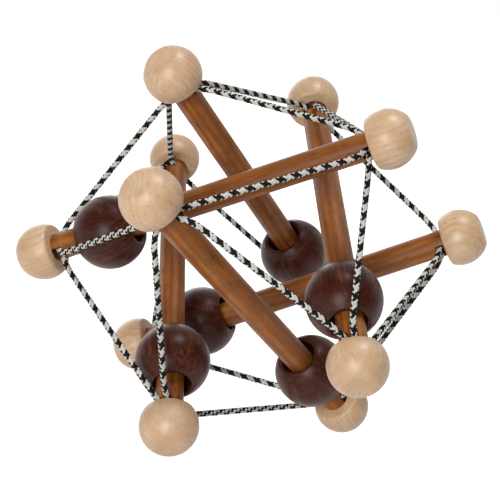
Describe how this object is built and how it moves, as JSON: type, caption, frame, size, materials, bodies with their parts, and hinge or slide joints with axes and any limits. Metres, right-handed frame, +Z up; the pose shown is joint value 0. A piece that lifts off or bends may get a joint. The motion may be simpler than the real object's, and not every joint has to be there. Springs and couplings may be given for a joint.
{
  "type": "tensegrity squeeze toy",
  "caption": "Springy wooden grasping toy: rods with balls on their ends float in a net of elastic cord, and a dark bead slides along each rod.",
  "frame": {"origin": "on the floor, below the middle of the bounding box", "axes": "+Z up with the toy standing on three of its balls, +X along its longest extent, +Y away from the side seen in the reference"},
  "size_m": [0.1642, 0.1458, 0.1287],
  "materials": {
    "rod_wood": "orange-brown stain under satin lacquer",
    "ball_wood": "natural pale wood under satin lacquer",
    "bead_wood": "dark red-brown stain under satin lacquer",
    "cord": "braided elastic, black and white"
  },
  "bodies": {
    "strut_a2": {"rod_a2": "rod_wood", "ball_a2_high": "ball_wood", "ball_a2_low": "ball_wood"},
    "strut_a1": {"rod_a1": "rod_wood", "ball_a1_high": "ball_wood", "ball_a1_low": "ball_wood"},
    "strut_b1": {"rod_b1": "rod_wood", "ball_b1_high": "ball_wood", "ball_b1_low": "ball_wood", "cord_a2_high_to_b1_low": "cord", "cord_a2_low_to_b1_low": "cord"},
    "strut_b2": {"rod_b2": "rod_wood", "ball_b2_high": "ball_wood", "ball_b2_low": "ball_wood", "cord_a2_high_to_b2_low": "cord", "cord_a2_low_to_b2_low": "cord"},
    "strut_c1": {"rod_c1": "rod_wood", "ball_c1_high": "ball_wood", "ball_c1_low": "ball_wood", "cord_a2_low_to_c1_high": "cord", "cord_a2_low_to_c1_low": "cord"},
    "strut_c2": {"rod_c2": "rod_wood", "ball_c2_high": "ball_wood", "ball_c2_low": "ball_wood", "cord_a2_high_to_c2_high": "cord", "cord_a2_high_to_c2_low": "cord"},
    "bead_a1": {"bead_a1": "bead_wood"},
    "bead_a2": {"bead_a2": "bead_wood"},
    "bead_b1": {"bead_b1": "bead_wood"},
    "bead_b2": {"bead_b2": "bead_wood"},
    "bead_c1": {"bead_c1": "bead_wood"},
    "bead_c2": {"bead_c2": "bead_wood"},
    "elastic_a1_b1": {"cord_a1_high_to_b1_high": "cord", "cord_a1_low_to_b1_high": "cord"},
    "elastic_a1_b2": {"cord_a1_high_to_b2_high": "cord", "cord_a1_low_to_b2_high": "cord"},
    "elastic_a1_c2": {"cord_a1_high_to_c2_high": "cord", "cord_a1_high_to_c2_low": "cord"},
    "elastic_a1_c1": {"cord_a1_low_to_c1_high": "cord", "cord_a1_low_to_c1_low": "cord"},
    "elastic_b1_c1": {"cord_b1_high_to_c1_high": "cord", "cord_b1_low_to_c1_high": "cord"},
    "elastic_b1_c2": {"cord_b1_high_to_c2_high": "cord", "cord_b1_low_to_c2_high": "cord"},
    "elastic_b2_c1": {"cord_b2_high_to_c1_low": "cord", "cord_b2_low_to_c1_low": "cord"},
    "elastic_b2_c2": {"cord_b2_high_to_c2_low": "cord", "cord_b2_low_to_c2_low": "cord"}
  },
  "joints": [
    {"name": "squeeze", "type": "slide", "parent": "strut_a2", "child": "strut_a1", "axis": [-0.604, -0.5013, 0.6196], "range_m": [-0.016, 0.02], "stiffness_N_per_m": 600},
    {"name": "squeeze_b1", "type": "slide", "parent": "strut_a2", "child": "strut_b1", "axis": [-0.5293, 0.2349, 0.8152], "range_m": [-0.01154, 0.01442], "deforming": ["cord_a2_high_to_b1_low", "cord_a2_low_to_b1_low"]},
    {"name": "squeeze_b2", "type": "slide", "parent": "strut_a2", "child": "strut_b2", "axis": [-0.3248, -0.9438, 0.061], "range_m": [-0.01154, 0.01442], "deforming": ["cord_a2_high_to_b2_low", "cord_a2_low_to_b2_low"]},
    {"name": "squeeze_c1", "type": "slide", "parent": "strut_a2", "child": "strut_c1", "axis": [-0.9813, -0.19, 0.0309], "range_m": [-0.01154, 0.01442], "deforming": ["cord_a2_low_to_c1_high", "cord_a2_low_to_c1_low"]},
    {"name": "squeeze_c2", "type": "slide", "parent": "strut_a2", "child": "strut_c2", "axis": [0.1271, -0.5189, 0.8454], "range_m": [-0.01154, 0.01442], "deforming": ["cord_a2_high_to_c2_high", "cord_a2_high_to_c2_low"]},
    {"name": "stretch_a1_b1", "type": "slide", "parent": "strut_a1", "child": "elastic_a1_b1", "axis": [0.3248, 0.9438, -0.061], "range_m": [-0.01154, 0.01442], "deforming": ["cord_a1_high_to_b1_high", "cord_a1_low_to_b1_high"]},
    {"name": "stretch_a1_b2", "type": "slide", "parent": "strut_a1", "child": "elastic_a1_b2", "axis": [0.5293, -0.2349, -0.8152], "range_m": [-0.01154, 0.01442], "deforming": ["cord_a1_high_to_b2_high", "cord_a1_low_to_b2_high"]},
    {"name": "stretch_a1_c2", "type": "slide", "parent": "strut_a1", "child": "elastic_a1_c2", "axis": [0.9813, 0.19, -0.0309], "range_m": [-0.01154, 0.01442], "deforming": ["cord_a1_high_to_c2_high", "cord_a1_high_to_c2_low"]},
    {"name": "stretch_a1_c1", "type": "slide", "parent": "strut_a1", "child": "elastic_a1_c1", "axis": [-0.1271, 0.5189, -0.8454], "range_m": [-0.01154, 0.01442], "deforming": ["cord_a1_low_to_c1_high", "cord_a1_low_to_c1_low"]},
    {"name": "stretch_b1_c1", "type": "slide", "parent": "strut_b1", "child": "elastic_b1_c1", "axis": [-0.4519, -0.4249, -0.7843], "range_m": [-0.01154, 0.01442], "deforming": ["cord_b1_high_to_c1_high", "cord_b1_low_to_c1_high"]},
    {"name": "stretch_b1_c2", "type": "slide", "parent": "strut_b1", "child": "elastic_b1_c2", "axis": [0.6565, -0.7538, 0.0301], "range_m": [-0.01154, 0.01442], "deforming": ["cord_b1_high_to_c2_high", "cord_b1_low_to_c2_high"]},
    {"name": "stretch_b2_c1", "type": "slide", "parent": "strut_b2", "child": "elastic_b2_c1", "axis": [-0.6565, 0.7538, -0.0301], "range_m": [-0.01154, 0.01442], "deforming": ["cord_b2_high_to_c1_low", "cord_b2_low_to_c1_low"]},
    {"name": "stretch_b2_c2", "type": "slide", "parent": "strut_b2", "child": "elastic_b2_c2", "axis": [0.4519, 0.4249, 0.7843], "range_m": [-0.01154, 0.01442], "deforming": ["cord_b2_high_to_c2_low", "cord_b2_low_to_c2_low"]},
    {"name": "bead_a1_slide", "type": "slide", "parent": "strut_a1", "child": "bead_a1", "axis": [0.8068, -0.2488, 0.5358], "range_m": [0, 0.0786]},
    {"name": "bead_a2_slide", "type": "slide", "parent": "strut_a2", "child": "bead_a2", "axis": [0.8008, -0.2107, 0.5607], "range_m": [-0.0027, 0.0775]},
    {"name": "bead_b1_slide", "type": "slide", "parent": "strut_b1", "child": "bead_b1", "axis": [-0.5824, -0.5255, 0.6203], "range_m": [-0.003, 0.0763]},
    {"name": "bead_b2_slide", "type": "slide", "parent": "strut_b2", "child": "bead_b2", "axis": [-0.6428, -0.5008, 0.5796], "range_m": [0, 0.0792]},
    {"name": "bead_c1_slide", "type": "slide", "parent": "strut_c1", "child": "bead_c1", "axis": [-0.1353, 0.841, 0.5238], "range_m": [0, 0.0771]},
    {"name": "bead_c2_slide", "type": "slide", "parent": "strut_c2", "child": "bead_c2", "axis": [-0.1758, 0.8471, 0.5015], "range_m": [-0.0008, 0.0756]}
  ],
  "couplings": [
    {"joint": "squeeze_b1", "follows": "squeeze", "ratio": 0.70711},
    {"joint": "squeeze_b2", "follows": "squeeze", "ratio": 0.70711},
    {"joint": "squeeze_c1", "follows": "squeeze", "ratio": 0.70711},
    {"joint": "squeeze_c2", "follows": "squeeze", "ratio": 0.70711},
    {"joint": "stretch_a1_b1", "follows": "squeeze", "ratio": 0.70711},
    {"joint": "stretch_a1_b2", "follows": "squeeze", "ratio": 0.70711},
    {"joint": "stretch_a1_c2", "follows": "squeeze", "ratio": 0.70711},
    {"joint": "stretch_a1_c1", "follows": "squeeze", "ratio": 0.70711},
    {"joint": "stretch_b1_c1", "follows": "squeeze", "ratio": 0.70711},
    {"joint": "stretch_b1_c2", "follows": "squeeze", "ratio": 0.70711},
    {"joint": "stretch_b2_c1", "follows": "squeeze", "ratio": 0.70711},
    {"joint": "stretch_b2_c2", "follows": "squeeze", "ratio": 0.70711}
  ]
}
